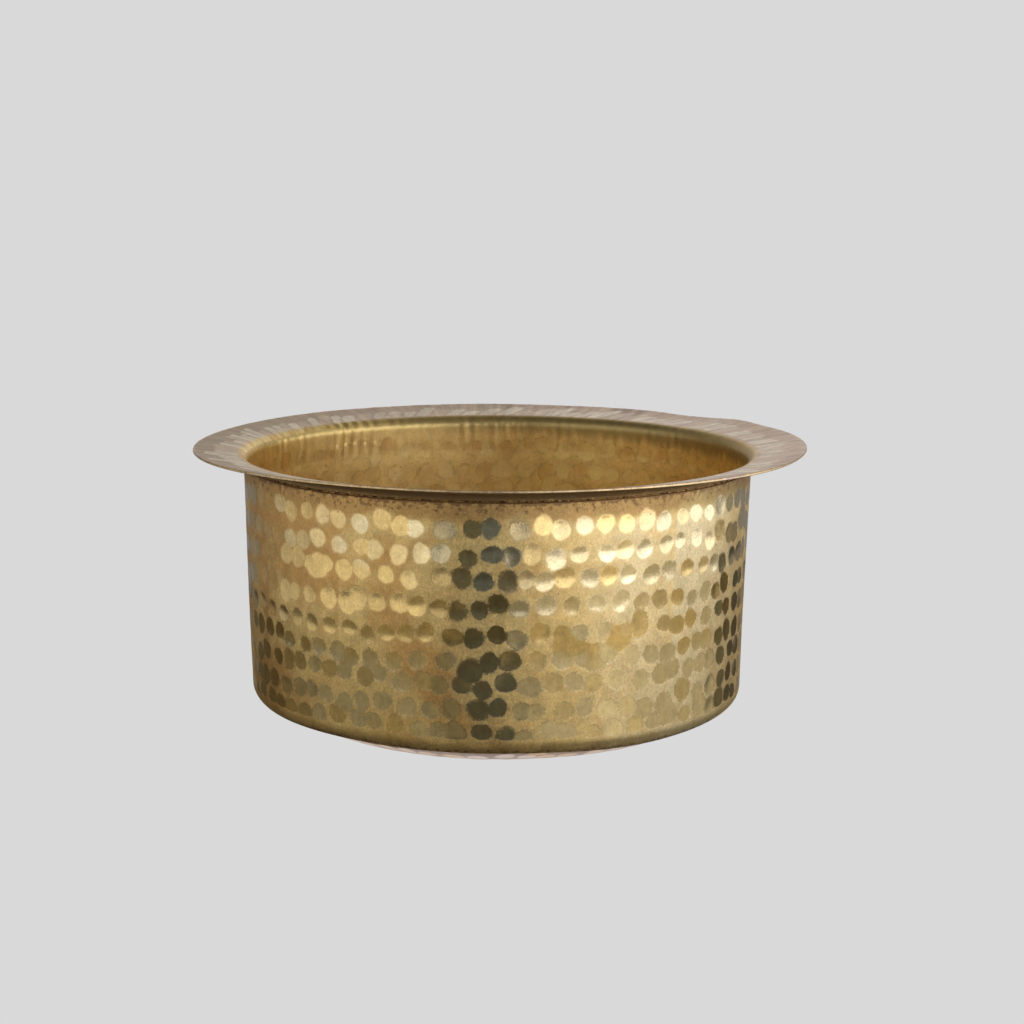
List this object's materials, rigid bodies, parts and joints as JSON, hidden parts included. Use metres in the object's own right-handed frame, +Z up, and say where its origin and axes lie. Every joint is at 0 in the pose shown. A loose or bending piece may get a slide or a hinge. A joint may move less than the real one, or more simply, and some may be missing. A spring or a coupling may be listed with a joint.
{
  "type": "hammered brass bowl",
  "caption": "Straight-sided hammered brass bowl with a dished base and a wide flat turned-out rim, built from brazed sheets.",
  "frame": {"origin": "centre of the flat face the bowl stands on", "axes": "+Z up through the mouth, the bowl's axis; -Y towards the side seen in the picture; the wall's upright seam is on +Y"},
  "size_m": [0.275, 0.275, 0.128],
  "materials": {
    "base_pan": "satin, aged, hammered inside",
    "wall_band": "satin ground with polished hammer dimples",
    "rim_flange": "satin with radial hammer marks",
    "base_braze": "dull, darkened spelter",
    "rim_braze": "dull, darkened spelter",
    "wall_braze": "filed flush"
  },
  "bodies": {
    "root": {"base_pan": "base_pan", "wall_band": "wall_band", "rim_flange": "rim_flange", "base_braze": "base_braze", "rim_braze": "rim_braze", "wall_braze": "wall_braze"}
  },
  "joints": []
}
